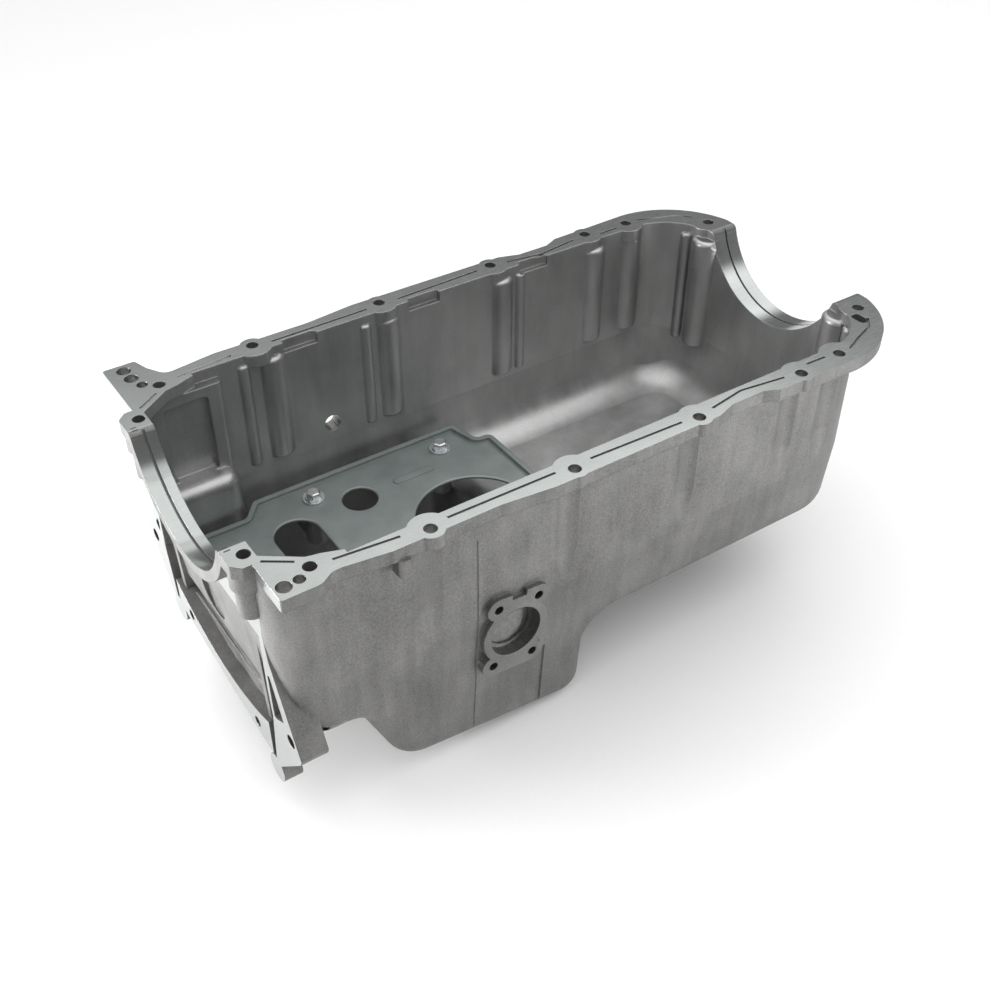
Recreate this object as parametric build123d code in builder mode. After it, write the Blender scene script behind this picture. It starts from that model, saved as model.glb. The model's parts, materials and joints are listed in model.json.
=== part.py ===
from build123d import *
import math
import os

# Engine oil pan: one light-alloy casting with a rear sump, two crankshaft
# seal arches and a bell housing face, and a windage tray bolted inside it.
# +X points to the engine's front and +Z up to the block. The machined gasket
# face is z = 0, and x = 0, y = 0 is the middle of the mid-rail bolt pair.
# Near is the -Y side, far is the +Y side. All sizes are in millimetres.

NEAR = -1
FAR = 1
SIDES = (NEAR, FAR)

# Basin walls
wall = 6.0
half_width = 121.0
rear_face_x = -212.0
front_wall_x = 299.0
front_corner_radius = 55.0
rear_corner_radius = 32.0
crease_depth = 104.0
outer_taper = 4.0
inner_taper = 8.0
floor_thickness = 7.0
floor_depth = 163.0
rear_floor_depth = 150.0
rear_wall_lean = 9.0
rear_wall_knee_depth = 58.0
outer_edge_radius = 16.0
inner_edge_radius = 16.0
cove_radius = 30.0
cove_sink = 0.3
headroom = 40.0

# Sump
sump_rear_depth = 222.0
sump_front_depth = 240.0
sump_front_x = 31.0
cove_start_x = sump_front_x + 15.0
sump_rear_top_x = -160.0
sump_rear_foot_x = -128.0
outer_profile_radii = (20.0, 22.0, 30.0, 20.0, 22.0)
inner_profile_radii = (20.0, 26.0, 30.0, 20.0, 28.0)
trough_x = -20.0
trough_width = 16.0
trough_depth = 1.4
trough_top_z = -162.0
seam_x = -72.0
seam_width = 1.2
seam_depth = 0.6
seam_top_z = -30.0

# Gasket rail, its y places given as distances out from the basin's half width
rail_thickness = 10.0
rail_half_width = half_width + 13.5
rail_waist_half_width = half_width + 9.0
rail_front_x = 318.0
rail_front_half_width = 80.0
rail_shoulder = (248.0, half_width + 16.0)
rail_front_arc = (292.0, half_width)
rail_hole_radius = 4.5
rail_boss_radius = 9.5
rail_inner_boss_radius = 15.0
side_bolt_xs = (-108.0, 0.0, 104.5, 200.5, 242.0)
side_bolt_outsets = (3.5, 5.0, 6.5, 6.5, 3.0)
side_bolts = [(x, half_width + out) for x, out in zip(side_bolt_xs, side_bolt_outsets)]
front_bolt = (302.0, 86.0)
rear_bolt = (-212.0, 82.5)
ear_bolt = (-184.5, half_width - 7.0)
ear_dowel = (-194.5, half_width - 0.5)
dowel_radius = 3.9
near_ear_screws = ((-205.0, half_width + 0.5),)
far_ear_screws = ((-198.0, half_width + 11.0), (-199.0, half_width + 23.0))
ear_thread_radius = 5.1
near_ear_y = half_width + 10.5
far_ear_y = half_width + 31.0
ear_front_x = -187.0
ear_corner_radius = 2.0

# Rear rail blocks beside the arch
block_rear_x = -224.0
block_half_width = 94.0
block_chamfer = 6.0

# Columns inside the walls, thin beads beside them, and socket flutes outside
column_radius = 12.0
column_proud = 5.5
column_depth = 99.0
column_top_z = -8.0
column_end_radius = 4.0
column_xs = (-98.0, 1.0, 108.0, 203.0, 243.0)
bead_radius = 5.0
bead_proud = 3.0
bead_xs = (-121.0, -19.0, 125.5)
front_column = (294.0, 76.0)
front_column_radius = 13.0
front_bead = (286.0, 94.0)
front_column_depth = 112.0
flute_radius = 20.0
flute_sink = 2.5
flute_depth = 98.0
flute_straight_share = 0.7
rear_boss_radius = 9.0
rear_boss_step = 2.5
rear_boss_depth = 46.0
corner_block_front_x = -141.0
corner_block_inner_y = half_width - 29.0
corner_block_top_z = -84.0
corner_block_radius = 14.0
corner_liner_y = half_width - 13.0
corner_liner_radius = 4.0
corner_block_top_radius = 10.0
corner_panel = (-188.0, -153.0)
corner_panel_top_z = -18.0
rail_web_xs = (-205.0, -194.0, -183.0, -174.0, -160.0)
rail_web_insets = (32.0, 24.0, 16.0, 14.0, 9.0)
rail_web = [(x, half_width - inset) for x, inset in zip(rail_web_xs, rail_web_insets)]
recess_offset = 20.0
recess_length = 28.0
recess_height = 9.0
recess_depth = 4.0
recess_radius = 3.0

# Pocket beside the near front bolt
front_pocket = (291.0, 98.0)
front_pocket_size = (8.0, 13.0)
front_pocket_depth = 6.0

# Seal grooves in the gasket face
seal_groove_width = 1.8
seal_groove_depth = 1.5
seal_paths = (
    ((-206.5, -27.0), (-190.0, -15.5)),
    ((-170.5, -5.0), (-127.0, -0.5)),
    ((-94.0, 0.5), (-13.0, 1.5)),
    ((15.0, 2.0), (90.5, 4.5)),
    ((119.0, 3.5), (149.5, -1.5), (186.5, 3.5)),
    ((212.0, 0.0), (230.0, 0.5)),
    ((254.0, 2.5), (270.5, -4.5), (287.5, -10.5), (296.5, -20.0)),
)
seal_nick_x = -219.0
seal_nick_length = 4.0
seal_nick_ys = (71.5, 74.5)

# Crankshaft seal arches
arch_centre_z = 19.5
arch_radius = 71.5
saddle_thickness = 8.0
front_saddle_rear_x = 293.0
rear_saddle_front_x = -206.0
arch_shoulder_radius = 5.0
arch_groove_depth = 1.6
front_arch_groove_x = 306.0
rear_arch_groove_x = -214.0

# Bell housing face below the ears
leg_depth = 20.0
leg_inner_y = 85.0
leg_waist_y = 90.0
leg_waist_z = -57.0
lug_hole_radius = 5.1
lug_tips = {NEAR: (126.0, -148.0), FAR: (117.0, -118.0)}
lug_holes = {NEAR: (113.0, -140.0), FAR: (104.0, -119.0)}
leg_slot_depth = 12.0
foot_bosses = {NEAR: (79.0, -201.0), FAR: (79.0, -174.0)}
foot_boss_radius = 11.0
foot_boss_length = 14.0
foot_heel = (13.0, 14.0)
strip_depth = 12.0
strip_half_width = 76.0
strip_bottom_z = {NEAR: -190.0, FAR: -168.0}
strip_middle_top_z = -168.0
strip_end_top_z = {NEAR: -157.0, FAR: -143.0}
cover_holes = {NEAR: (54.0, -177.0), FAR: (54.0, -162.0)}
cover_hole_radius = 4.2
web_thickness = 8.0
web_bottom_z = -rear_floor_depth - 18.0
frame_rib_y = 70.0
frame_rib_width = 6.0
frame_rib_proud = 5.0
rear_pocket_y = 10.0
rear_pocket_z = -112.0
rear_pocket_radius = 17.0
rear_pocket_depth = 3.0

# Side port on the near wall
port_x = -43.5
port_z = -124.0
port_tilt = 5.0
port_bore_radius = 20.5
port_step_radius = 17.5
port_bore_depth = 9.0
port_step_depth = 2.5
port_hole_spacing_x = 33.0
port_hole_spacing_z = 52.0
port_hole_radius = 3.4
port_hole_depth = 11.0
port_pad_proud = 4.0
port_lobe_radius = 9.0
port_ring_radius = 26.5
port_notch_width = 12.0
port_notch_height = 9.0
port_backing = 15.0

# Level sender hole on the far wall
sender_x = -54.0
sender_z = -86.0
sender_hole_radius = 7.0
sender_boss_radius = 13.0
sender_boss_proud = 6.0

# Lug under the near rail
rail_lug_x = -125.0
rail_lug_length = 18.0
rail_lug_proud = 10.0
rail_lug_depth = 24.0
rail_lug_radius = 4.0

# Windage tray and its fasteners
tray_top_z = -124.0
tray_thickness = 2.0
tray_rear_x = -186.0
tray_front_x = 68.0
tray_half_width = half_width - 19.0
tray_rear_half_width = half_width - 35.0
tray_step_rear_x = -147.0
tray_step_front_x = -134.0
tray_shoulder_x = 48.0
tray_neck_x = 55.0
tray_neck_half_width = half_width - 47.0
tray_corner_radius = 6.0
tray_rim_height = 3.0
tray_rim_width = 4.0
tray_pickup_hole = (3.0, -5.0, 47.0)
tray_round_hole = (-62.0, 62.0, 14.0)
tray_slot_x = -122.0
tray_slot_radius = 18.0
tray_slot_near_y = 10.0
tray_slot_far_y = 50.0
tray_edge_roll = 1.4
tray_emboss_x = -12.0
tray_emboss_y = 64.0
tray_emboss_length = 36.0
tray_emboss_width = 7.0
tray_emboss_height = 1.0
tray_bolt_xs = (-92.0, 24.0)
tray_bolt_y = half_width - 39.0
tray_bolt_radius = 3.0
tray_bolt_length = 14.0
tray_hole_clearance = 0.4
thread_clearance = 0.1
bolt_across_flats = 10.0
bolt_head_height = 6.0
bolt_flange_radius = 6.6
bolt_flange_height = 1.6
washer_radius = 9.0
washer_thickness = 1.6
post_radius = 9.0
post_depth = 38.0
bracket_width = 12.0
bracket_drop = 12.0

# Drain hole on the sump's front wall
drain_z = -(floor_depth + sump_front_depth) / 2
drain_radius = 7.0
drain_boss_radius = 13.0
drain_boss_proud = 4.0

reach = 400.0


def mirrored(points):
    """A half outline given from rear to front, closed by its mirror image."""
    far_half = [(x, y) for x, y in points]
    near_half = [(x, -y) for x, y in points]
    return near_half + far_half[::-1]


def basin_plan(inset):
    """The basin's outline seen from above, set in by inset."""
    with BuildSketch() as plan:
        with BuildLine():
            Polyline(
                (rear_face_x, -half_width),
                (front_wall_x, -half_width),
                (front_wall_x, half_width),
                (rear_face_x, half_width),
                close=True,
            )
        make_face()
        fillet(plan.vertices().group_by(Axis.X)[0], rear_corner_radius)
        fillet(plan.vertices().group_by(Axis.X)[-1], front_corner_radius)
        if inset > 0:
            offset(amount=-inset, mode=Mode.REPLACE)
    return plan.sketch


def side_profile(inset, radii):
    """The floor line of basin and sump seen from the side, set in by inset."""
    with BuildSketch() as profile:
        with BuildLine():
            Polyline(
                (rear_face_x - 1, headroom + 1),
                (rear_face_x - 1, 1 - rear_wall_knee_depth),
                (rear_face_x + rear_wall_lean, -rear_floor_depth),
                (sump_rear_top_x, -rear_floor_depth),
                (sump_rear_foot_x, -sump_rear_depth),
                (sump_front_x, -sump_front_depth),
                (sump_front_x, -floor_depth),
                (reach, -floor_depth),
                (reach, headroom + 1),
                close=True,
            )
        make_face()
        if inset > 0:
            offset(amount=-inset, kind=Kind.INTERSECTION, mode=Mode.REPLACE)
        low = [v for v in profile.vertices() if v.Y < -crease_depth]
        corners = sorted(low, key=lambda v: (round(v.X, 3), v.Y))
        places = [Vector(v.X, v.Y, 0) for v in corners]
        for place, radius in zip(places, radii):
            corner = profile.vertices().sort_by_distance(place)[0]
            fillet(corner, radius)
    return profile.sketch


def basin_form(wall_inset, floor_inset, taper, radii, edge_radius):
    """Basin and sump as one solid with rounded lower edges, set in all round."""
    plan = basin_plan(wall_inset)
    profile = side_profile(floor_inset, radii)
    with BuildPart() as form:
        with BuildSketch(Plane.XY.offset(-crease_depth)):
            add(plan)
        extrude(amount=headroom + crease_depth)
        with BuildSketch(Plane.XY.offset(-crease_depth)):
            add(plan)
        extrude(amount=reach / 2, dir=(0, 0, -1), taper=taper)
        with BuildSketch(Plane.XZ):
            add(profile)
        extrude(amount=reach, both=True, mode=Mode.INTERSECT)
        low_edges = form.edges().filter_by(lambda e: e.bounding_box().max.Z < -crease_depth - 1)
        across = low_edges.filter_by(lambda e: e.bounding_box().size.Y > half_width)
        front = across.filter_by(lambda e: e.center().X > sump_front_x + reach / 4)
        fillet(low_edges - across + front, edge_radius)
    return form.part


def floor_cove():
    """The wide hollow curve that joins the shallow floor to the walls round it."""
    draft = math.radians(inner_taper)
    floor_z = floor_thickness - floor_depth
    corner_x = front_wall_x - front_corner_radius
    corner_y = half_width - front_corner_radius
    foot = front_corner_radius - wall - (-crease_depth - floor_z) * math.tan(draft)
    reach_in = cove_radius * math.tan((math.pi / 2 - draft) / 2)
    centre = (foot - reach_in, floor_z + cove_radius)
    middle = -(math.pi / 2 + draft) / 2
    inner_end = (centre[0], floor_z - cove_sink)
    deepest = (
        centre[0] + cove_radius * math.cos(middle),
        centre[1] + cove_radius * math.sin(middle),
    )
    outer_end = (
        centre[0] + cove_radius * math.cos(draft) + cove_sink,
        centre[1] - cove_radius * math.sin(draft),
    )
    backing = foot + wall / 2
    with BuildPart() as cove:
        with BuildLine() as path:
            Line((cove_start_x, -corner_y - foot), (corner_x, -corner_y - foot))
            CenterArc((corner_x, -corner_y), foot, -90, 90)
            Line((corner_x + foot, -corner_y), (corner_x + foot, corner_y))
            CenterArc((corner_x, corner_y), foot, 0, 90)
            Line((corner_x, corner_y + foot), (cove_start_x, corner_y + foot))
        with BuildSketch(Plane.YZ.offset(cove_start_x)):
            with BuildLine():
                ThreePointArc(
                    (-corner_y - inner_end[0], inner_end[1]),
                    (-corner_y - deepest[0], deepest[1]),
                    (-corner_y - outer_end[0], outer_end[1]),
                )
                Polyline(
                    (-corner_y - outer_end[0], outer_end[1]),
                    (-corner_y - outer_end[0] - wall / 3, outer_end[1]),
                    (-corner_y - backing, floor_z - floor_thickness / 2),
                    (-corner_y - inner_end[0], floor_z - floor_thickness / 2),
                    (-corner_y - inner_end[0], inner_end[1]),
                )
            make_face()
        sweep(path=path.wires()[0])
    return cove.part


def rail_plate():
    """The flat gasket rail, filled across, with its ears and rear blocks."""
    half = [
        (block_rear_x, block_half_width - block_chamfer),
        (block_rear_x + block_chamfer, block_half_width),
        (rear_face_x, block_half_width),
        (rear_face_x, half_width - rear_corner_radius / 2),
        (ear_front_x, half_width - block_chamfer / 2),
        (-172.0, rail_waist_half_width - 5),
        (-137.0, rail_waist_half_width),
        (-60.0, rail_waist_half_width),
        (-20.0, rail_half_width),
        (117.0, rail_half_width),
        (134.0, rail_waist_half_width - 1),
        (162.0, rail_waist_half_width - 1),
        (174.0, rail_half_width),
        rail_shoulder,
    ]
    with BuildPart() as plate:
        with BuildSketch():
            with BuildLine():
                Polyline([(x, -y) for x, y in half])
                Polyline([(x, y) for x, y in half])
                Line((block_rear_x, block_chamfer - block_half_width), half[0])
                for side in SIDES:
                    ThreePointArc(
                        (rail_shoulder[0], side * rail_shoulder[1]),
                        (rail_front_arc[0], side * rail_front_arc[1]),
                        (rail_front_x, side * rail_front_half_width),
                    )
                Line((rail_front_x, -rail_front_half_width), (rail_front_x, rail_front_half_width))
            make_face()
            for x, y in side_bolts:
                with Locations((x, -y), (x, y)):
                    Circle(rail_boss_radius)
        extrude(amount=-rail_thickness)
    return plate.part


def rail_inner_bosses():
    """Round bulges of the rail's inner edge at each side and front bolt."""
    with BuildPart() as bosses:
        with BuildSketch():
            for x, y in side_bolts + [front_bolt]:
                with Locations((x, -y), (x, y)):
                    Circle(rail_inner_boss_radius)
        extrude(amount=-rail_thickness)
    return bosses.part


def ear(side, outer_y):
    """The thick tab beside the bell housing face that carries its screws."""
    outline = [
        (rear_face_x, block_half_width - block_chamfer),
        (rear_face_x, outer_y),
        (ear_front_x - 1, outer_y),
        (ear_front_x + 3, outer_y - 13 if outer_y > near_ear_y else outer_y - 1),
        (-176.0, near_ear_y - 6),
        (-163.0, half_width + 4),
        (-163.0, block_half_width - block_chamfer),
    ]
    with BuildPart() as tab:
        with BuildSketch():
            with BuildLine():
                FilletPolyline(
                    [(x, side * y) for x, y in outline],
                    radius=[0, ear_corner_radius, ear_corner_radius, 6.0, 8.0, 0, 0],
                    close=True,
                )
            make_face()
        extrude(amount=-rail_thickness)
    return tab.part


def disc_between(x_from, x_to, radius):
    """A solid disc round the crankshaft axis between two x positions."""
    with BuildPart() as disc:
        with BuildSketch(Plane.YZ.offset(x_from)):
            with Locations((0, arch_centre_z)):
                Circle(radius)
        extrude(amount=x_to - x_from)
    return disc.part


def arch_cut():
    """The crankshaft clearance through both ends, with rounded shoulders."""
    with BuildPart() as cut:
        with BuildSketch(Plane.YZ) as opening:
            with Locations((0, arch_centre_z)):
                Circle(arch_radius)
            with Locations((0, reach / 2)):
                Rectangle(reach, reach)
            half_chord = (arch_radius**2 - arch_centre_z**2) ** 0.5
            for side in SIDES:
                shoulder = opening.vertices().sort_by_distance((side * half_chord, 0, 0))[0]
                fillet(shoulder, arch_shoulder_radius)
        extrude(amount=reach, both=True)
    return cut.part


def arch_grooves():
    """One seal groove round each arch land."""
    with BuildPart() as grooves:
        for x in (front_arch_groove_x, rear_arch_groove_x):
            with BuildSketch(Plane.YZ.offset(x - seal_groove_width / 2)):
                with Locations((0, arch_centre_z)):
                    Circle(arch_radius + arch_groove_depth)
            extrude(amount=seal_groove_width)
    return grooves.part


def leg(side):
    """One upright leg of the bell housing face, with its lug and foot."""
    tip_y, tip_z = lug_tips[side]
    boss_y, boss_z = foot_bosses[side]
    with BuildPart() as upright:
        with BuildSketch(Plane.YZ.offset(rear_face_x)):
            with BuildLine():
                Polyline(
                    (side * leg_inner_y, -rail_thickness / 2),
                    (side * (leg_waist_y + 2), -rail_thickness / 2),
                    (side * leg_waist_y, leg_waist_z),
                    (side * (leg_waist_y + 4), leg_waist_z - 25),
                    (side * tip_y, tip_z),
                    (side * (tip_y - 2), tip_z - 5),
                    (side * (boss_y + foot_heel[0]), boss_z + foot_heel[1]),
                    (side * boss_y, boss_z),
                    (side * (leg_inner_y + 2), tip_z + 9),
                    (side * leg_inner_y, leg_waist_z - 60),
                    close=True,
                )
            make_face()
        extrude(amount=leg_depth)
        with BuildSketch(Plane.YZ.offset(rear_face_x)):
            with Locations((side * boss_y, boss_z)):
                Circle(foot_boss_radius)
        extrude(amount=foot_boss_length)
    return upright.part


def leg_slot(side):
    """The long triangular lightening slot in one leg."""
    tip_y, tip_z = lug_tips[side]
    with BuildPart() as slot:
        with BuildSketch(Plane.YZ.offset(rear_face_x)) as outline:
            with BuildLine():
                Polyline(
                    (side * (leg_waist_y - 1.5), leg_waist_z - 32),
                    (side * (tip_y - 21), tip_z + 18),
                    (side * (leg_inner_y + 5), tip_z + 9),
                    close=True,
                )
            make_face()
            fillet(outline.vertices().sort_by(Axis.Y), 2.0)
        extrude(amount=leg_slot_depth)
    return slot.part


def foot_strip():
    """The cover strip along the bottom of the bell housing face and its web."""
    near_end = -strip_half_width
    far_end = strip_half_width
    with BuildPart() as strip:
        with BuildSketch(Plane.YZ.offset(rear_face_x)):
            with BuildLine():
                Line((near_end, strip_bottom_z[NEAR]), (far_end, strip_bottom_z[FAR]))
                Line((near_end, strip_bottom_z[NEAR]), (near_end, strip_end_top_z[NEAR]))
                Line((far_end, strip_bottom_z[FAR]), (far_end, strip_end_top_z[FAR]))
                ThreePointArc(
                    (near_end, strip_end_top_z[NEAR]),
                    (0, strip_middle_top_z),
                    (far_end, strip_end_top_z[FAR]),
                )
            make_face()
        extrude(amount=strip_depth)
        with BuildSketch(Plane.XZ):
            with BuildLine():
                Polyline(
                    (rear_face_x + strip_depth - 1, web_bottom_z),
                    (rear_face_x + strip_depth - 1, web_bottom_z + web_thickness),
                    (rear_face_x + rear_wall_lean, -rear_floor_depth),
                    (sump_rear_top_x - 8, -rear_floor_depth),
                    (sump_rear_top_x - 8, -rear_floor_depth - web_thickness),
                    (rear_face_x + strip_depth + web_thickness, web_bottom_z),
                    close=True,
                )
            make_face()
        extrude(amount=strip_half_width - strip_depth, both=True)
    return strip.part


def wall_ribs():
    """The upright ribs that frame the rear wall between the legs."""
    with BuildPart() as ribs:
        for side in SIDES:
            foot_z = strip_end_top_z[side] - 4
            with BuildSketch(Plane.XZ.offset(-side * frame_rib_y)):
                with BuildLine():
                    Polyline(
                        (rear_face_x + 1, -rear_boss_depth),
                        (rear_face_x + rear_wall_lean - frame_rib_proud, foot_z),
                        (rear_face_x + rear_wall_lean + wall / 2, foot_z),
                        (rear_face_x + wall / 2, -rear_boss_depth),
                        close=True,
                    )
                make_face()
            extrude(amount=frame_rib_width / 2, both=True)
    return ribs.part


def wall_column(x, y, radius, depth):
    """One round upright column with softened ends, sunk part way into a wall."""
    with BuildPart() as column:
        with BuildSketch(Plane.XY.offset(column_top_z)):
            with Locations((x, y)):
                Circle(radius)
        extrude(amount=-depth - column_top_z)
        fillet(column.edges(), min(column_end_radius, radius / 2))
    return column.part


def wall_columns():
    """Every column and bead down the inside of the walls."""
    inner_y = half_width - wall
    with BuildPart() as columns:
        for side in SIDES:
            for x in column_xs:
                y = side * (inner_y - column_proud + column_radius)
                add(wall_column(x, y, column_radius, column_depth))
            for x in bead_xs:
                y = side * (inner_y - bead_proud + bead_radius)
                add(wall_column(x, y, bead_radius, column_depth))
            x, y = front_column
            add(wall_column(x, side * y, front_column_radius, front_column_depth))
            x, y = front_bead
            add(wall_column(x, side * y, bead_radius, front_column_depth))
    return columns.part


def corner_blocks():
    """Solid blocks in the basin's rear corners, behind the leg lugs."""
    with BuildPart() as blocks:
        for side in SIDES:
            with BuildSketch(Plane.XY.offset(corner_block_top_z)) as foot:
                with BuildLine():
                    Polyline(
                        (rear_face_x + 1, side * corner_block_inner_y),
                        (corner_block_front_x, side * corner_block_inner_y),
                        (corner_block_front_x, side * (half_width - 1)),
                        (rear_face_x + 1, side * (half_width - 1)),
                        close=True,
                    )
                make_face()
                inner_corner = foot.vertices().sort_by_distance(
                    (corner_block_front_x, side * corner_block_inner_y, 0)
                )[0]
                fillet(inner_corner, corner_block_radius)
            extrude(amount=-reach / 4)
        fillet(blocks.edges().group_by(Axis.Z)[-1], corner_block_top_radius)
    return blocks.part


def corner_liners():
    """The lining of each rear corner above its block, round at its open edge."""
    liner_length = corner_block_front_x - rear_face_x
    with BuildPart() as liners:
        for side in SIDES:
            with BuildSketch(Plane.XY.offset(-rail_thickness)):
                with Locations(((rear_face_x + corner_block_front_x) / 2, side * half_width)):
                    RectangleRounded(
                        liner_length,
                        2 * (half_width - corner_liner_y),
                        corner_liner_radius,
                    )
            extrude(amount=corner_block_top_z - corner_block_top_radius + rail_thickness)
    return liners.part


def corner_panels():
    """The shallow upright panel let into each rear corner's lining."""
    with BuildPart() as panels:
        panel_height = corner_panel_top_z - corner_block_top_z
        for side in SIDES:
            with BuildSketch(Plane.XZ.offset(-side * (half_width - wall - 1))):
                with Locations((sum(corner_panel) / 2, corner_panel_top_z - panel_height / 2)):
                    RectangleRounded(corner_panel[1] - corner_panel[0], panel_height, 4.0)
            extrude(amount=side * (half_width - wall - corner_liner_y))
    return panels.part


def rail_webs():
    """The flat fill of the rail across each rear inner corner."""
    with BuildPart() as webs:
        for side in SIDES:
            with BuildSketch():
                with BuildLine():
                    Polyline(
                        [(rear_face_x, side * rear_bolt[1])]
                        + [(x, side * y) for x, y in rail_web]
                        + [(rail_web[-1][0], side * half_width), (rear_face_x, side * half_width)],
                        close=True,
                    )
                make_face()
            extrude(amount=-rail_thickness)
    return webs.part


def rail_recesses():
    """Open-topped pockets in the far rail's inner edge ahead of three columns."""
    with BuildPart() as recesses:
        for x, y in side_bolts[:3]:
            middle_x = x + recess_offset + recess_length / 2
            with BuildSketch():
                with Locations((middle_x, half_width - wall)):
                    RectangleRounded(recess_length, 2 * recess_depth, recess_radius)
            extrude(amount=-recess_height)
    return recesses.part


def rail_front_pocket():
    """The small pocket in the rail beside the near front bolt."""
    with BuildPart() as pocket:
        with BuildSketch():
            with Locations((front_pocket[0], -front_pocket[1])):
                RectangleRounded(*front_pocket_size, recess_radius)
        extrude(amount=-front_pocket_depth)
    return pocket.part


def tray_supports():
    """Posts that carry the tray: from the floor in front, from the walls behind."""
    top = tray_top_z - tray_thickness
    with BuildPart() as posts:
        for x in tray_bolt_xs:
            for side in SIDES:
                with BuildSketch(Plane.XY.offset(top)):
                    with Locations((x, side * tray_bolt_y)):
                        Circle(post_radius)
                extrude(amount=-post_depth)
                with BuildSketch(Plane.XY.offset(top - bracket_drop)):
                    with Locations((x, side * (tray_bolt_y + half_width) / 2)):
                        Rectangle(bracket_width, half_width - tray_bolt_y)
                extrude(amount=bracket_drop - post_depth)
    return posts.part


def port_outline():
    """The side port's pad seen square on: four lobes round a ring."""
    with BuildSketch() as outline:
        Circle(port_ring_radius)
        for x in (-port_hole_spacing_x / 2, port_hole_spacing_x / 2):
            for z in (-port_hole_spacing_z / 2, port_hole_spacing_z / 2):
                with Locations((x, z)):
                    Circle(port_lobe_radius)
        Rectangle(port_hole_spacing_x, port_hole_spacing_z + 2 * port_lobe_radius)
    return outline.sketch


port_face_y = -half_width - port_pad_proud
port_plane = Plane(
    origin=(port_x, port_face_y, port_z),
    x_dir=Vector(1, 0, 0).rotate(Axis.Y, port_tilt),
    z_dir=(0, -1, 0),
)


def port_pad():
    """The raised pad of the side port, sunk into the wall behind it."""
    with BuildPart() as pad:
        with BuildSketch(port_plane):
            add(port_outline())
            with Locations((0, port_hole_spacing_z / 2 + port_lobe_radius)):
                Rectangle(port_notch_width, port_notch_height, mode=Mode.SUBTRACT)
        extrude(amount=-port_pad_proud - wall - 4)
    return pad.part


def port_back():
    """The thickening inside the wall that closes the port's blind bore."""
    with BuildPart() as back:
        with BuildSketch(port_plane):
            add(port_outline())
        extrude(amount=-port_pad_proud - port_backing)
    return back.part


def port_cuts():
    """The stepped blind bore and the four screw holes of the side port."""
    with BuildPart() as cuts:
        with BuildSketch(port_plane):
            Circle(port_bore_radius)
        extrude(amount=-port_bore_depth)
        with BuildSketch(port_plane):
            Circle(port_step_radius)
        extrude(amount=-port_bore_depth - port_step_depth)
        with BuildSketch(port_plane):
            with GridLocations(port_hole_spacing_x, port_hole_spacing_z, 2, 2):
                Circle(port_hole_radius)
        extrude(amount=-port_hole_depth)
    return cuts.part


def seal_grooves():
    """Shallow grooves for the gasket's beads, one between each two holes."""
    with BuildPart() as grooves:
        with BuildSketch():
            for side in SIDES:
                for path in seal_paths:
                    with BuildLine():
                        Polyline([(x, side * (half_width + out)) for x, out in path])
                    trace(line_width=seal_groove_width)
                for y in seal_nick_ys:
                    with Locations((seal_nick_x, side * y)):
                        Rectangle(seal_nick_length, seal_groove_width / 2)
        extrude(amount=-seal_groove_depth)
    return grooves.part


def rail_holes():
    """Every hole in the gasket rail: clear holes, dowels and ear threads."""
    clear = [(x, side * y) for x, y in side_bolts for side in SIDES]
    clear += [(x, side * y) for x, y in (front_bolt, rear_bolt, ear_bolt) for side in SIDES]
    dowels = [(ear_dowel[0], side * ear_dowel[1]) for side in SIDES]
    threads = [(x, -y) for x, y in near_ear_screws] + list(far_ear_screws)
    with BuildPart() as holes:
        with BuildSketch():
            with Locations(*clear):
                Circle(rail_hole_radius)
            with Locations(*dowels):
                Circle(dowel_radius)
            with Locations(*threads):
                Circle(ear_thread_radius)
        extrude(amount=-rail_thickness - 1)
    return holes.part


def sender_boss():
    """The round boss on the far wall for the level sender."""
    with BuildPart() as boss:
        with BuildSketch(Plane.XZ.offset(-half_width - sender_boss_proud)):
            with Locations((sender_x, sender_z)):
                Circle(sender_boss_radius)
        extrude(amount=sender_boss_proud + wall / 2)
    return boss.part


def sender_hole():
    """The threaded hole through the far wall and its boss."""
    with BuildPart() as hole:
        with BuildSketch(Plane.XZ.offset(-half_width - sender_boss_proud)):
            with Locations((sender_x, sender_z)):
                Circle(sender_hole_radius)
        extrude(amount=sender_boss_proud + 2 * wall)
    return hole.part


def drain_boss():
    """The boss round the drain hole on the sump's front wall."""
    with BuildPart() as boss:
        with BuildSketch(Plane.YZ.offset(sump_front_x - wall / 2)):
            with Locations((0, drain_z)):
                Circle(drain_boss_radius)
        extrude(amount=wall / 2 + drain_boss_proud)
    return boss.part


def drain_hole():
    """The threaded drain hole through the sump's front wall."""
    with BuildPart() as hole:
        with BuildSketch(Plane.YZ.offset(sump_front_x - 3 * wall)):
            with Locations((0, drain_z)):
                Circle(drain_radius)
        extrude(amount=3 * wall + drain_boss_proud)
    return hole.part


def rail_lug():
    """The small cast lug under the near rail."""
    with BuildPart() as lug:
        middle_z = -(rail_thickness + rail_lug_depth) / 2
        with Locations((rail_lug_x, -half_width - rail_lug_proud / 2, middle_z)):
            Box(rail_lug_length, rail_lug_proud + 2, rail_lug_depth - rail_thickness)
        fillet(lug.edges().filter_by(Axis.Z).group_by(Axis.Y)[0], rail_lug_radius)
    return lug.part


def tray_threads():
    """The blind tapped holes in the four tray supports."""
    with BuildPart() as threads:
        with BuildSketch(Plane.XY.offset(tray_top_z)):
            for x in tray_bolt_xs:
                with Locations((x, -tray_bolt_y), (x, tray_bolt_y)):
                    Circle(tray_bolt_radius + thread_clearance)
        extrude(amount=-tray_bolt_length - 3)
    return threads.part


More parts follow.
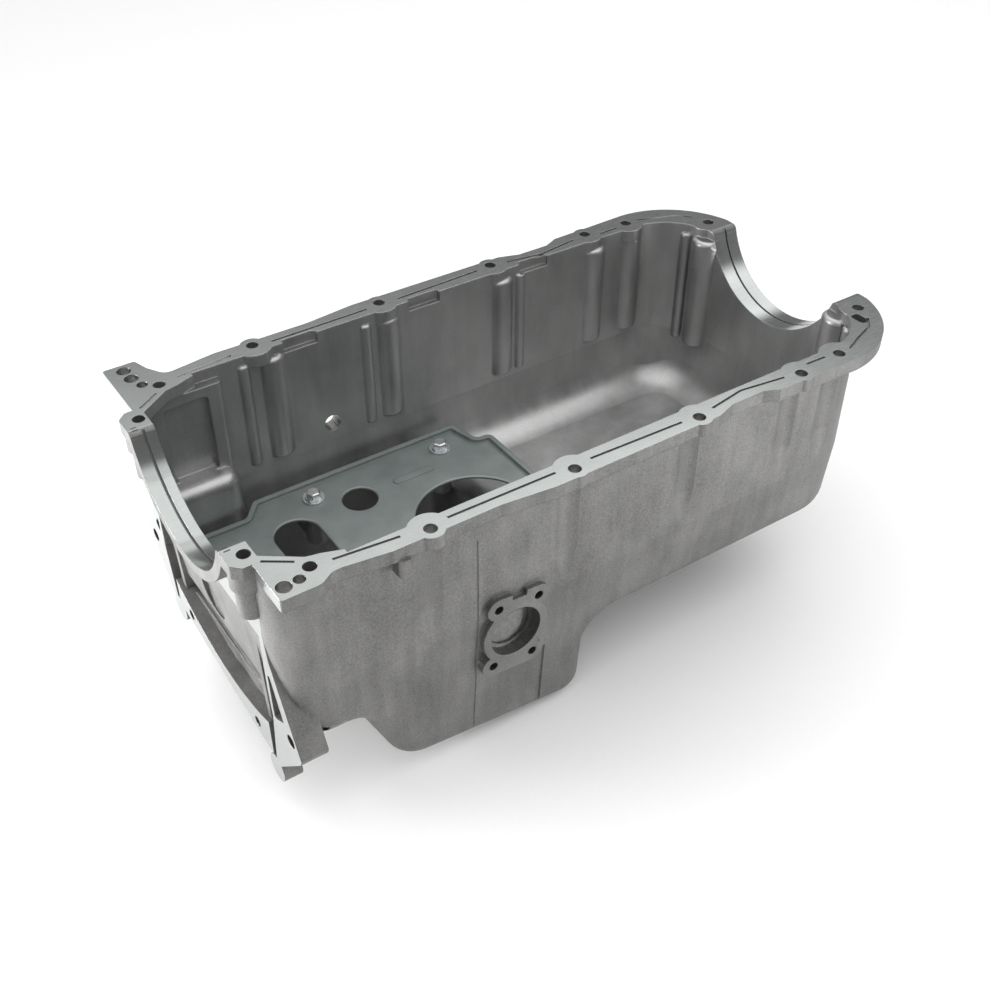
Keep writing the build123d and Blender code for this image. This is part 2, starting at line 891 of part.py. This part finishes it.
def socket_flutes():
    """Shallow upright hollows in the outer wall for the rail bolts' sockets."""
    length = flute_depth - rail_thickness
    straight = length * flute_straight_share
    run_out = length - straight
    fade = math.degrees(math.atan(flute_sink / run_out))
    centre_y = half_width + flute_radius - flute_sink
    spots = [(x, side * centre_y) for x in side_bolt_xs for side in SIDES]
    with BuildPart() as flutes:
        with BuildSketch(Plane.XY.offset(-rail_thickness)):
            with Locations(*spots):
                Circle(flute_radius)
        extrude(amount=-straight)
        for spot in spots:
            with BuildSketch(Plane.XY.offset(-rail_thickness - straight)):
                with Locations(spot):
                    Circle(flute_radius)
            extrude(amount=run_out, dir=(0, 0, -1), taper=fade)
    return flutes.part


def rear_bosses():
    """Stepped half-round bosses under the two rear rail bolts."""
    with BuildPart() as bosses:
        for side in SIDES:
            with BuildSketch():
                with Locations((rear_bolt[0], side * rear_bolt[1])):
                    Circle(rear_boss_radius + rear_boss_step)
            extrude(amount=-rear_boss_depth / 2)
            with BuildSketch():
                with Locations((rear_bolt[0], side * rear_bolt[1])):
                    Circle(rear_boss_radius)
            extrude(amount=-rear_boss_depth)
    return bosses.part


def rear_pocket():
    """The shallow round pocket in the rear wall between the legs."""
    lean_share = (-rear_pocket_z - rear_wall_knee_depth) / (rear_floor_depth - rear_wall_knee_depth)
    surface_x = rear_face_x + rear_wall_lean * lean_share
    with BuildPart() as pocket:
        with BuildSketch(Plane.YZ.offset(rear_face_x - 1)):
            with Locations((rear_pocket_y, rear_pocket_z)):
                Circle(rear_pocket_radius)
        extrude(amount=surface_x + rear_pocket_depth - rear_face_x + 1)
    return pocket.part


def wall_channel(x, width, depth, top_z):
    """A shallow upright channel down the near wall, along its slope."""
    draft = math.tan(math.radians(outer_taper))
    top_y = -half_width + max(0, -top_z - crease_depth) * draft + depth
    bottom_y = -half_width + (sump_front_depth - crease_depth) * draft + depth
    upper = [(top_y, top_z)]
    if top_z > -crease_depth:
        upper.append((top_y, -crease_depth))
    with BuildPart() as channel:
        with BuildSketch(Plane.YZ.offset(x - width / 2)):
            with BuildLine():
                Polyline(
                    *upper,
                    (bottom_y, -sump_front_depth),
                    (-half_width - 1, -sump_front_depth),
                    (-half_width - 1, top_z),
                    close=True,
                )
            make_face()
        extrude(amount=width)
    return channel.part


def bell_face_holes():
    """Screw holes through the bell housing face: lugs, feet and strip."""
    with BuildPart() as holes:
        with BuildSketch(Plane.YZ.offset(rear_face_x)):
            for side in SIDES:
                with Locations((side * lug_holes[side][0], lug_holes[side][1])):
                    Circle(lug_hole_radius)
        extrude(amount=leg_depth + wall)
        with BuildSketch(Plane.YZ.offset(rear_face_x)):
            for side in SIDES:
                with Locations((side * cover_holes[side][0], cover_holes[side][1])):
                    Circle(cover_hole_radius)
        extrude(amount=strip_depth)
    return holes.part


# The casting: outer form and everything cast on its outside first, then the
# cavity, then what stands inside the walls, then the machining.
outer_form = basin_form(0, 0, outer_taper, outer_profile_radii, outer_edge_radius)
cavity = basin_form(wall, floor_thickness, inner_taper, inner_profile_radii, inner_edge_radius)

with BuildPart() as inside_features:
    add(wall_columns())
    add(rail_inner_bosses())
    add(corner_blocks())
    add(corner_liners())
    add(rail_webs())
    add(tray_supports())
    add(port_back())
    add(floor_cove())
    add(outer_form, mode=Mode.INTERSECT)
    add(corner_panels(), mode=Mode.SUBTRACT)

with BuildPart() as pan_casting:
    add(outer_form)
    add(rail_plate())
    add(ear(NEAR, near_ear_y))
    add(ear(FAR, far_ear_y))
    add(disc_between(front_saddle_rear_x, rail_front_x, arch_radius + saddle_thickness))
    add(disc_between(block_rear_x, rear_saddle_front_x, arch_radius + saddle_thickness))
    for side in SIDES:
        add(leg(side))
        add(leg_slot(side), mode=Mode.SUBTRACT)
    add(foot_strip())
    add(wall_ribs())
    add(rear_bosses())
    add(port_pad())
    add(sender_boss())
    add(drain_boss())
    add(rail_lug())
    add(cavity, mode=Mode.SUBTRACT)
    add(inside_features.part)
    add(arch_cut(), mode=Mode.SUBTRACT)
    add(arch_grooves(), mode=Mode.SUBTRACT)
    add(rail_recesses(), mode=Mode.SUBTRACT)
    add(rail_front_pocket(), mode=Mode.SUBTRACT)
    add(socket_flutes(), mode=Mode.SUBTRACT)
    add(rail_holes(), mode=Mode.SUBTRACT)
    add(seal_grooves(), mode=Mode.SUBTRACT)
    add(bell_face_holes(), mode=Mode.SUBTRACT)
    add(rear_pocket(), mode=Mode.SUBTRACT)
    add(wall_channel(trough_x, trough_width, trough_depth, trough_top_z), mode=Mode.SUBTRACT)
    add(wall_channel(seam_x, seam_width, seam_depth, seam_top_z), mode=Mode.SUBTRACT)
    add(port_cuts(), mode=Mode.SUBTRACT)
    add(sender_hole(), mode=Mode.SUBTRACT)
    add(drain_hole(), mode=Mode.SUBTRACT)
    add(tray_threads(), mode=Mode.SUBTRACT)

os.makedirs("parts", exist_ok=True)
pan_casting.part.label = "pan_casting"
export_step(pan_casting.part, "parts/pan_casting.step")


def tray_outline():
    """The windage tray's outline seen from above."""
    half = [
        (tray_rear_x, tray_rear_half_width),
        (tray_step_rear_x, tray_rear_half_width),
        (tray_step_front_x, tray_half_width),
        (tray_shoulder_x, tray_half_width),
        (tray_neck_x, tray_neck_half_width),
        (tray_front_x, tray_neck_half_width),
    ]
    with BuildSketch() as outline:
        with BuildLine():
            FilletPolyline(mirrored(half), radius=tray_corner_radius, close=True)
        make_face()
    return outline.sketch


# The windage tray: one pressed sheet with a raised rim, lipped holes and a bead.
with BuildPart() as windage_tray:
    with BuildSketch(Plane.XY.offset(tray_top_z - tray_thickness)):
        add(tray_outline())
    extrude(amount=tray_thickness)
    with BuildSketch(Plane.XY.offset(tray_top_z)):
        add(tray_outline())
        offset(tray_outline(), amount=-tray_rim_width, mode=Mode.SUBTRACT)
    extrude(amount=tray_rim_height)
    with BuildSketch(Plane.XY.offset(tray_top_z)):
        with Locations((tray_emboss_x, tray_emboss_y), (tray_emboss_x, -tray_emboss_y)):
            SlotOverall(tray_emboss_length, tray_emboss_width)
    extrude(amount=tray_emboss_height)
    with BuildSketch(Plane.XY.offset(tray_top_z - tray_thickness)):
        for x, y, radius in (tray_pickup_hole, tray_round_hole):
            with Locations((x, y)):
                Circle(radius)
        with Locations((tray_slot_x, (tray_slot_near_y + tray_slot_far_y) / 2)):
            SlotCenterToCenter(
                tray_slot_far_y - tray_slot_near_y, 2 * tray_slot_radius, rotation=90
            )
    before = windage_tray.edges()
    extrude(amount=tray_thickness + tray_rim_height, mode=Mode.SUBTRACT)
    hole_edges = windage_tray.edges() - before
    fillet(hole_edges.group_by(Axis.Z)[-1], tray_edge_roll)
    with BuildSketch(Plane.XY.offset(tray_top_z - tray_thickness)):
        for x in tray_bolt_xs:
            with Locations((x, -tray_bolt_y), (x, tray_bolt_y)):
                Circle(tray_bolt_radius + tray_hole_clearance)
    extrude(amount=tray_thickness, mode=Mode.SUBTRACT)

windage_tray.part.label = "windage_tray"
export_step(windage_tray.part, "parts/windage_tray.step")


def washer(x, y):
    """A flat washer on the tray round one bolt."""
    with BuildPart() as ring:
        with BuildSketch(Plane.XY.offset(tray_top_z)):
            with Locations((x, y)):
                Circle(washer_radius)
                Circle(tray_bolt_radius + tray_hole_clearance, mode=Mode.SUBTRACT)
        extrude(amount=washer_thickness)
    return ring.part


def tray_bolt(x, y):
    """A hexagon flange bolt standing in one tray support."""
    seat_z = tray_top_z + washer_thickness
    with BuildPart() as bolt:
        with BuildSketch(Plane.XY.offset(seat_z)):
            with Locations((x, y)):
                Circle(bolt_flange_radius)
        extrude(amount=bolt_flange_height)
        with BuildSketch(Plane.XY.offset(seat_z)):
            with Locations((x, y)):
                RegularPolygon(bolt_across_flats / 2, 6, major_radius=False)
        extrude(amount=bolt_head_height)
        chamfer(bolt.edges().group_by(Axis.Z)[-1], 0.8)
        with BuildSketch(Plane.XY.offset(seat_z)):
            with Locations((x, y)):
                Circle(tray_bolt_radius)
        extrude(amount=-tray_bolt_length - washer_thickness)
    return bolt.part


# Four washers and four bolts, numbered from the rear, near side first.
corners = [(x, side * tray_bolt_y) for x in tray_bolt_xs for side in SIDES]
for number, (x, y) in enumerate(corners, start=1):
    with BuildPart() as tray_washer:
        add(washer(x, y))
    tray_washer.part.label = f"tray_washer_{number}"
    export_step(tray_washer.part, f"parts/tray_washer_{number}.step")
    with BuildPart() as tray_screw:
        add(tray_bolt(x, y))
    tray_screw.part.label = f"tray_bolt_{number}"
    export_step(tray_screw.part, f"parts/tray_bolt_{number}.step")

for name, made in (("casting", pan_casting), ("tray", windage_tray)):
    print(name, made.part.is_valid, len(made.part.solids()), round(made.part.volume))
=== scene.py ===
# %% [markdown]
# # Finishing a cast engine oil pan
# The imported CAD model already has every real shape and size: one light-alloy
# casting, a sheet windage tray, four bolts and four washers. This lesson only
# gives them their finishes, a floor, light and a camera. The shapes stay as
# they are, because a change of shape belongs in the CAD source.

# %% Load the fixed frame and keep its size
import bpy
import json
from mathutils import Matrix, Vector
from mathutils.bvhtree import BVHTree


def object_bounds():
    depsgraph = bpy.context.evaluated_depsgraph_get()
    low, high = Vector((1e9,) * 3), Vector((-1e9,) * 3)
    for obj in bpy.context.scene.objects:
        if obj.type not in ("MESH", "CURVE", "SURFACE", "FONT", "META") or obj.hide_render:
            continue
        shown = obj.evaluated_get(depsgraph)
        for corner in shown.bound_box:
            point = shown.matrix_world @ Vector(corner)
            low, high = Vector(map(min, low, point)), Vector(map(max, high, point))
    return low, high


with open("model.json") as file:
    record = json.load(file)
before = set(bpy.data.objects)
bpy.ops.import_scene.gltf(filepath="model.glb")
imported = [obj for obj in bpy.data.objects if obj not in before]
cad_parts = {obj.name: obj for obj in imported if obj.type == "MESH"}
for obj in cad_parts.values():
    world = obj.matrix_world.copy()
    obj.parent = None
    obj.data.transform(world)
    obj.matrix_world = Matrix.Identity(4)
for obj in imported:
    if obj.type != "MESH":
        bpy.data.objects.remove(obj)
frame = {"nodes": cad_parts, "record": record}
nodes = frame["nodes"]
record = frame["record"]
cad_low, cad_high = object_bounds()
print("CAD box", [round(v, 4) for v in cad_low], [round(v, 4) for v in cad_high])

# %% [markdown]
# A finish is a small network of shader nodes. Each one could be wired by hand,
# but the same few steps come back on every metal: make the nodes, set their
# inputs, join them up. So one short class holds a material and its links, and
# each finish below reads as a list of what is done to the metal.

# %% A short way to wire a finish
class Finish:
    """One procedural material, built node by node around a Principled shader."""

    def __init__(self, name, metallic):
        self.material = bpy.data.materials.new(name)
        self.material.use_nodes = True
        self.tree = self.material.node_tree
        self.shader = self.tree.nodes["Principled BSDF"]
        self.shader.inputs["Metallic"].default_value = metallic
        self.place = self.tree.nodes.new("ShaderNodeTexCoord").outputs["Object"]
        self.normal = None

    def node(self, kind, **inputs):
        """Makes a node and fills its inputs; an underscore stands for a space."""
        made = self.tree.nodes.new(kind)
        for name, value in inputs.items():
            self.feed(made.inputs[name.replace("_", " ")], value)
        return made

    def feed(self, socket, value):
        """Links another node's output to a socket, or sets a plain value."""
        if isinstance(value, bpy.types.NodeSocket):
            self.tree.links.new(value, socket)
        else:
            socket.default_value = value

    def stretched(self, x, y, z):
        """The object's own coordinates, squeezed or drawn out along each axis."""
        mapping = self.node("ShaderNodeMapping", Vector=self.place, Scale=(x, y, z))
        return mapping.outputs["Vector"]

    def noise(self, scale, detail, place=None):
        made = self.node("ShaderNodeTexNoise", Vector=place or self.place,
                         Scale=scale, Detail=detail)
        return made.outputs["Fac"]

    def graded(self, noise, spread, low, high):
        """Stretches a noise's middle band, 0.5 plus or minus spread, to low up to high."""
        made = self.node("ShaderNodeMapRange", Value=noise,
                         From_Min=0.5 - spread, From_Max=0.5 + spread,
                         To_Min=low, To_Max=high)
        return made.outputs["Result"]

    def share(self, noise, weight, spread=0.2):
        """A noise's share in a shade; the weights of one finish add up to 1."""
        return self.graded(noise, spread, 0.0, weight)

    def total(self, first, *others):
        for other in others:
            made = self.tree.nodes.new("ShaderNodeMath")
            made.operation = "ADD"
            self.feed(made.inputs[0], first)
            self.feed(made.inputs[1], other)
            first = made.outputs[0]
        return first

    def tint(self, amount, dark, light):
        """Colours the metal between two shades as amount goes from 0 to 1."""
        ramp = self.node("ShaderNodeValToRGB", Fac=amount)
        ramp.color_ramp.elements[0].color = (*dark, 1.0)
        ramp.color_ramp.elements[1].color = (*light, 1.0)
        self.feed(self.shader.inputs["Base Color"], ramp.outputs["Color"])

    def roughen(self, noise, low, high):
        """Lets the roughness wander between low and high with a noise."""
        self.feed(self.shader.inputs["Roughness"], self.graded(noise, 0.2, low, high))

    def round_edges(self, radius):
        """Softens sharp model edges in the shading, as a cast or milled edge is."""
        self.normal = self.node("ShaderNodeBevel", Radius=radius).outputs["Normal"]
        self.feed(self.shader.inputs["Normal"], self.normal)

    def bump(self, height, strength, depth):
        made = self.node("ShaderNodeBump", Height=height, Strength=strength, Distance=depth)
        if self.normal is not None:
            self.feed(made.inputs["Normal"], self.normal)
        self.feed(self.shader.inputs["Normal"], made.outputs["Normal"])


# %% [markdown]
# The outside of the pan is bare cast alloy, blasted after casting: a matt
# mid-grey with a fine sandy grain, cloudy patches from the mould coating and
# faint upright marks where the skin was brushed. A photograph of metal would
# be simplest, but nodes keep the grain at its true size over the whole pan. So
# three noises share the work: about 1 mm for the grain, some 40 mm for the
# clouds, and one drawn out along Z for the upright marks.

# %% The blasted outer skin
MM = 0.001


def per_mm(size):
    """Noise scale, in the frame's metres, for marks about that many mm across."""
    return 1.0 / (size * MM)


def outer_skin():
    skin = Finish("cast_outer_skin", metallic=0.7)
    grain = skin.noise(per_mm(0.9), detail=3.0)
    clouds = skin.noise(per_mm(42.0), detail=4.0)
    streaks = skin.noise(per_mm(9.0), detail=3.0, place=skin.stretched(1.0, 1.0, 0.15))
    shade = skin.total(
        skin.share(grain, 0.5),
        skin.share(clouds, 0.32, spread=0.15),
        skin.share(streaks, 0.18, spread=0.15),
    )
    skin.tint(shade, dark=(0.095, 0.0945, 0.0925), light=(0.275, 0.273, 0.267))
    skin.roughen(clouds, 0.44, 0.58)
    skin.round_edges(1.2 * MM)
    skin.bump(grain, strength=0.5, depth=0.3 * MM)
    return skin.material


# %% [markdown]
# The inside came off a smooth metal core, so it has a dull sheen, with long
# soft smears down the walls. The same skin as outside would look like sand in
# the sump, so here the grain is half as deep and counts for less in the shade,
# and the clouds and smears count for more. The metal is paler than outside,
# yet looks darker, because it mirrors the dim walls around it.

# %% The smoother inner skin
def inner_skin():
    skin = Finish("cast_inner_skin", metallic=0.85)
    grain = skin.noise(per_mm(0.9), detail=2.0)
    clouds = skin.noise(per_mm(55.0), detail=3.0)
    smears = skin.noise(per_mm(11.0), detail=4.0, place=skin.stretched(1.0, 1.0, 0.2))
    shade = skin.total(
        skin.share(clouds, 0.4, spread=0.15),
        skin.share(smears, 0.25, spread=0.15),
        skin.share(grain, 0.35),
    )
    skin.tint(shade, dark=(0.33, 0.33, 0.328), light=(0.55, 0.55, 0.548))
    skin.roughen(smears, 0.34, 0.44)
    skin.round_edges(2.0 * MM)
    skin.bump(grain, strength=0.25, depth=0.15 * MM)
    return skin.material


# %% [markdown]
# The gasket rail, the arches and the bell housing face are milled, so they are
# smooth and slightly green, and they look brightest because they mirror the
# sky and the floor. Cutter marks could be drawn as rings, but from any
# distance they melt into an even satin, and rings that show look like stripes.
# So fine noise, drawn out along the cutter's path, breaks up the gloss, the
# shade and a faint bump. The walls of holes and the floors of the grooves are
# coloured darker as painted shade, standing for the shadow down in them, and keep
# the turns of drill and tap, which a wave along Z draws as rings in every upright hole.

# %% Milled faces, and the cut metal of holes and grooves with painted shade
def milled_face():
    face = Finish("milled_face", metallic=0.85)
    marks = face.noise(per_mm(1.4), detail=2.0, place=face.stretched(0.12, 1.0, 1.0))
    clouds = face.noise(per_mm(26.0), detail=3.0)
    shade = face.total(face.share(marks, 0.4), face.share(clouds, 0.6))
    face.tint(shade, dark=(0.36, 0.38, 0.37), light=(0.42, 0.44, 0.43))
    face.roughen(marks, 0.15, 0.2)
    face.round_edges(0.5 * MM)
    face.bump(marks, strength=0.05, depth=0.03 * MM)
    return face.material


def cut_metal_painted_shade():
    cut = Finish("cut_metal_painted_shade", metallic=0.9)
    turns = cut.node("ShaderNodeTexWave", Vector=cut.place, Scale=per_mm(4.0), Distortion=0.2)
    turns.bands_direction = "Z"
    clouds = cut.noise(per_mm(3.0), detail=2.0)
    # The dark tint is painted shade, standing for the shadow down holes and grooves.
    cut.tint(clouds, dark=(0.13, 0.13, 0.125), light=(0.3, 0.3, 0.29))
    cut.shader.inputs["Roughness"].default_value = 0.35
    cut.bump(turns.outputs["Fac"], strength=0.6, depth=0.5 * MM)
    return cut.material


# %% [markdown]
# Which face of the casting gets which finish could be painted by hand, but the
# geometry knows it already. A milled face lies exactly in one of the two
# machining planes, or on the crankshaft bore where that crosses an end wall.
# The wall of a hole is as far from the hole's axis as the record says.

# %% Find the faces that a tool has cut
OUTER, INNER, MILLED, CUT_PAINTED_SHADE = range(4)
casting = nodes["pan_casting"]
mesh = casting.data
rail_z = 0.0
bell_x = -212.0 * MM
crank_axis = Vector((0.0, 0.0, 19.5 * MM))
arch_radius = 71.5 * MM
front_arch_x = 294.0 * MM   # the front arch lies ahead of this
rear_arch_x = -200.0 * MM   # and the rear arch behind this
groove_depth = 1.5 * MM
close = 0.06 * MM           # as near as a flat face lies to its plane
arch_close = 4 * close      # flat facets lie a little inside a round bore
hole_close = 0.3 * MM       # a hole's wall lies this near its radius
square_on = 0.99            # cosine for a face that looks along an axis
toward_crank = 0.9          # and for a facet that looks at the crankshaft


def in_machined_plane(centre, normal):
    rail = normal.z > square_on and abs(centre.z - rail_z) < close
    bell = normal.x < -square_on and abs(centre.x - bell_x) < close
    out = Vector((0.0, centre.y, centre.z)) - crank_axis
    on_end_wall = centre.x > front_arch_x or centre.x < rear_arch_x
    on_bore = abs(out.length - arch_radius) < arch_close
    arch = on_bore and out.normalized().dot(normal) < -toward_crank
    return rail or bell or (arch and on_end_wall)


def on_groove_floor(centre, normal):
    return normal.z > square_on and abs(centre.z + groove_depth) < close


def on_hole_wall(centre):
    for mount in record["mounts"]:
        radius = mount["dims"].get("r_mm")
        if radius is None:
            continue
        axis = Vector(mount["axis"]).normalized()
        away = centre - Vector(mount["pos_m"])
        along = away.dot(axis)
        across = (away - along * axis).length
        length = mount["dims"]["length_mm"] * MM
        if across < radius * MM + hole_close and abs(along) < length:
            return True
    return False


print("holes in the record", sum("r_mm" in mount["dims"] for mount in record["mounts"]))

# %% [markdown]
# The two skins are harder to tell apart, because they meet at the rail and at
# the arches. One box that runs inside the metal of the four walls could sort
# them, but the rounded corners and the columns cross it. So a face within that
# box counts as inside for one of three reasons: it looks up, it is on a side
# wall and looks at the pan's middle, or a line drawn from it slightly
# downwards meets the casting again some way off.

# %% Find the faces of the inside
side_wall_y = 120.5 * MM
front_wall_x = 294.0 * MM
rear_wall_high_x = -206.0 * MM   # the rear wall leans, so high up it ends here
rear_wall_low_x = -198.0 * MM    # and lower down here
lean_z = -60.0 * MM              # with the change at this height
below_rail_z = -0.5 * MM
floors_z = -15.0 * MM            # faces that look up from below this are inside
side_walls_z = -160.0 * MM       # the side walls reach down to this
looks_up = 0.3
looks_at_middle = 0.5
downwards = -0.12                # how far each line is tipped
off_face = 0.5 * MM              # where a line starts, clear of its own face
reach = 0.7                      # m, longer than the pan
least_room = 30.0 * MM           # a shorter line only crosses a corner or a slot
surface = BVHTree.FromPolygons([v.co for v in mesh.vertices],
                               [p.vertices for p in mesh.polygons])


def looks_inside(centre, normal):
    rear_x = rear_wall_high_x if centre.z > lean_z else rear_wall_low_x
    within_walls = abs(centre.y) < side_wall_y and rear_x < centre.x < front_wall_x
    if not within_walls or centre.z > below_rail_z:
        return False
    if normal.z > looks_up and centre.z < floors_z:
        return True
    to_middle = normal.y * centre.y < -looks_at_middle * abs(centre.y)
    if to_middle and centre.z > side_walls_z:
        return True
    level = Vector((normal.x, normal.y, min(normal.z, downwards))).normalized()
    hit = surface.ray_cast(centre + normal * off_face, level, reach)
    return hit[0] is not None and hit[3] > least_room


print("faces to sort", len(mesh.polygons))

# %% [markdown]
# With these tests each face is asked in turn, milled before cut and cut before
# cast, and gets the number of its finish. The order matters, because the wall
# of a hole in the inner wall would pass the test for the inside as well.

# %% Tell each face of the casting its finish
def finish_of(centre, normal):
    if in_machined_plane(centre, normal):
        return MILLED
    # Hole walls and groove floors take the darker cut metal, a painted shade.
    if on_groove_floor(centre, normal) or on_hole_wall(centre):
        return CUT_PAINTED_SHADE
    return INNER if looks_inside(centre, normal) else OUTER


mesh.materials.clear()
for make in (outer_skin, inner_skin, milled_face, cut_metal_painted_shade):
    mesh.materials.append(make())
counted = [0, 0, 0, 0]
for polygon in mesh.polygons:
    polygon.material_index = finish_of(polygon.center, polygon.normal)
    counted[polygon.material_index] += 1
print("casting faces: outer, inner, milled, cut", counted)

# %% [markdown]
# The windage tray is thin steel sheet with a dull greenish-grey coat, so it is
# smoother and a little cooler than the casting round it. The coat is even, with
# only a light mottle where oil and handling have dulled it.

# %% The coated tray
def tray_coat():
    coat = Finish("tray_coat", metallic=0.45)
    mottle = coat.noise(per_mm(18.0), detail=4.0)
    speck = coat.noise(per_mm(0.9), detail=2.0)
    coat.tint(coat.share(mottle, 1.0), dark=(0.20, 0.23, 0.223), light=(0.245, 0.275, 0.268))
    coat.roughen(mottle, 0.32, 0.42)
    coat.round_edges(1.2 * MM)
    coat.bump(speck, strength=0.08, depth=0.1 * MM)
    return coat.material


tray = nodes["windage_tray"]
tray.data.materials.clear()
tray.data.materials.append(tray_coat())
print("tray faces", len(tray.data.polygons))

# %% [markdown]
# Bolts and washers are zinc plated, the brightest and coolest metal inside the
# pan. A bump would hide their crisp little edges, so there is none: the shade
# and the roughness vary in small patches, where a spanner has rubbed.

# %% Zinc-plated bolts and washers
def zinc_plate():
    zinc = Finish("zinc_plate", metallic=1.0)
    patches = zinc.noise(per_mm(4.0), detail=2.0)
    zinc.tint(zinc.share(patches, 1.0), dark=(0.50, 0.52, 0.53), light=(0.64, 0.65, 0.66))
    zinc.roughen(patches, 0.14, 0.24)
    zinc.round_edges(0.4 * MM)
    return zinc.material


plating = zinc_plate()
plated = [node for name, node in nodes.items() if name.startswith(("tray_bolt", "tray_washer"))]
for node in plated:
    node.data.materials.clear()
    node.data.materials.append(plating)
print("plated pieces", len(plated))

# %% [markdown]
# A pale floor catches a soft shadow and throws light back on the walls, as a
# paper sweep does in a studio. One large plane is enough: the camera looks
# down, so no backdrop shows behind the pan, and the plane goes on so far that
# its edge shows neither in the picture nor mirrored in the metal.

# %% The floor
def pale_paper():
    paper = Finish("pale_paper", metallic=0.0)
    fibres = paper.noise(per_mm(3.0), detail=2.0)
    paper.tint(fibres, dark=(0.92, 0.92, 0.92), light=(0.95, 0.95, 0.95))
    paper.shader.inputs["Roughness"].default_value = 0.9
    return paper.material


floor_half = 40.0
floor_z = cad_low.z - 0.5 * MM
floor_signs = ((-1, -1), (1, -1), (1, 1), (-1, 1))
floor_mesh = bpy.data.meshes.new("floor")
floor_mesh.from_pydata([(x * floor_half, y * floor_half, floor_z) for x, y in floor_signs],
                       [], [(0, 1, 2, 3)])
floor_mesh.materials.append(pale_paper())
floor = bpy.data.objects.new("floor", floor_mesh)
bpy.context.scene.collection.objects.link(floor)
print("floor at", round(floor_z, 4))

# %% [markdown]
# The photograph has the even light of a product shoot. Metal shows what it
# mirrors, so the room matters more than the lamps. Its shade goes by height: a
# room that is dim up to 30 degrees, brightest round 40 degrees and weaker
# overhead makes the near rail pale, the far rail grey and the walls
# inside dark, as they are in the picture.

# %% The room
room_shades = ((0.50, 0.13), (0.61, 1.0), (0.68, 1.0), (0.80, 0.6))  # sine of height, shade
room_strength = 1.4
world = bpy.data.worlds.new("room")
bpy.context.scene.world = world
world.use_nodes = True
room = world.node_tree
background = room.nodes["Background"]
direction = room.nodes.new("ShaderNodeTexCoord")
split = room.nodes.new("ShaderNodeSeparateXYZ")
heights = room.nodes.new("ShaderNodeValToRGB")
stops = heights.color_ramp.elements
for place, grey in room_shades:
    stops.new(place).color = (grey, grey, grey, 1.0)
stops.remove(stops[0])   # the ramp's own black
stops.remove(stops[-1])  # and white
room.links.new(direction.outputs["Generated"], split.inputs[0])
room.links.new(split.outputs["Z"], heights.inputs["Fac"])
room.links.new(heights.outputs["Color"], background.inputs["Color"])
background.inputs["Strength"].default_value = room_strength
print("room shades", [round(stop.position, 2) for stop in stops])

# %% [markdown]
# The room alone gives no clear shadow, and it leaves the walls under the rail
# dull. One wide softbox overhead adds a soft shadow. Two small ones stand low,
# off the front corner of the near side and off the bell housing end, and lift
# the walls that face them. They could be stronger, but then the milled faces
# beside those walls turn white.

# %% The softboxes
def softbox(name, place, target, size, power):
    lamp = bpy.data.lights.new(name, "AREA")
    lamp.shape = "SQUARE"
    lamp.size = size
    lamp.energy = power
    holder = bpy.data.objects.new(name, lamp)
    bpy.context.scene.collection.objects.link(holder)
    aim = Vector(target) - Vector(place)
    holder.location = place
    holder.rotation_euler = aim.to_track_quat("-Z", "Y").to_euler()


softbox("overhead", place=(0.5, 0.0, 2.2), target=(0.05, 0.0, -0.1), size=3.6, power=36.0)
softbox("front fill", place=(0.55, -0.85, -0.16), target=(0.12, -0.12, -0.1), size=0.35, power=4.5)
softbox("rear fill", place=(-0.95, 0.35, -0.02), target=(-0.2, 0.0, -0.1), size=0.4, power=13.0)

# %% [markdown]
# The camera stands where the photographer's did, found by fitting the rail's
# holes in the picture to their places on the part. Its three axes are written
# out, because a look-at constraint would lose the fitted roll.

# %% The camera
camera_place = (-0.3958, -0.6193, 0.4900)
fitted_right = Vector((0.8287, -0.5596, 0.0012)).normalized()
fitted_back = Vector((-0.435, -0.6428, 0.6305)).normalized()
lens = bpy.data.cameras.new("camera")
lens.sensor_width = 36.0
lens.lens = 45.17
camera = bpy.data.objects.new("camera", lens)
bpy.context.scene.collection.objects.link(camera)
up = fitted_back.cross(fitted_right).normalized()
square_right = up.cross(fitted_back)
turn = Matrix((square_right, up, fitted_back)).transposed().to_4x4()
camera.matrix_world = Matrix.Translation(camera_place) @ turn
bpy.context.scene.camera = camera
bpy.context.scene.view_settings.view_transform = "Standard"
print("camera at", [round(v, 3) for v in camera.location])
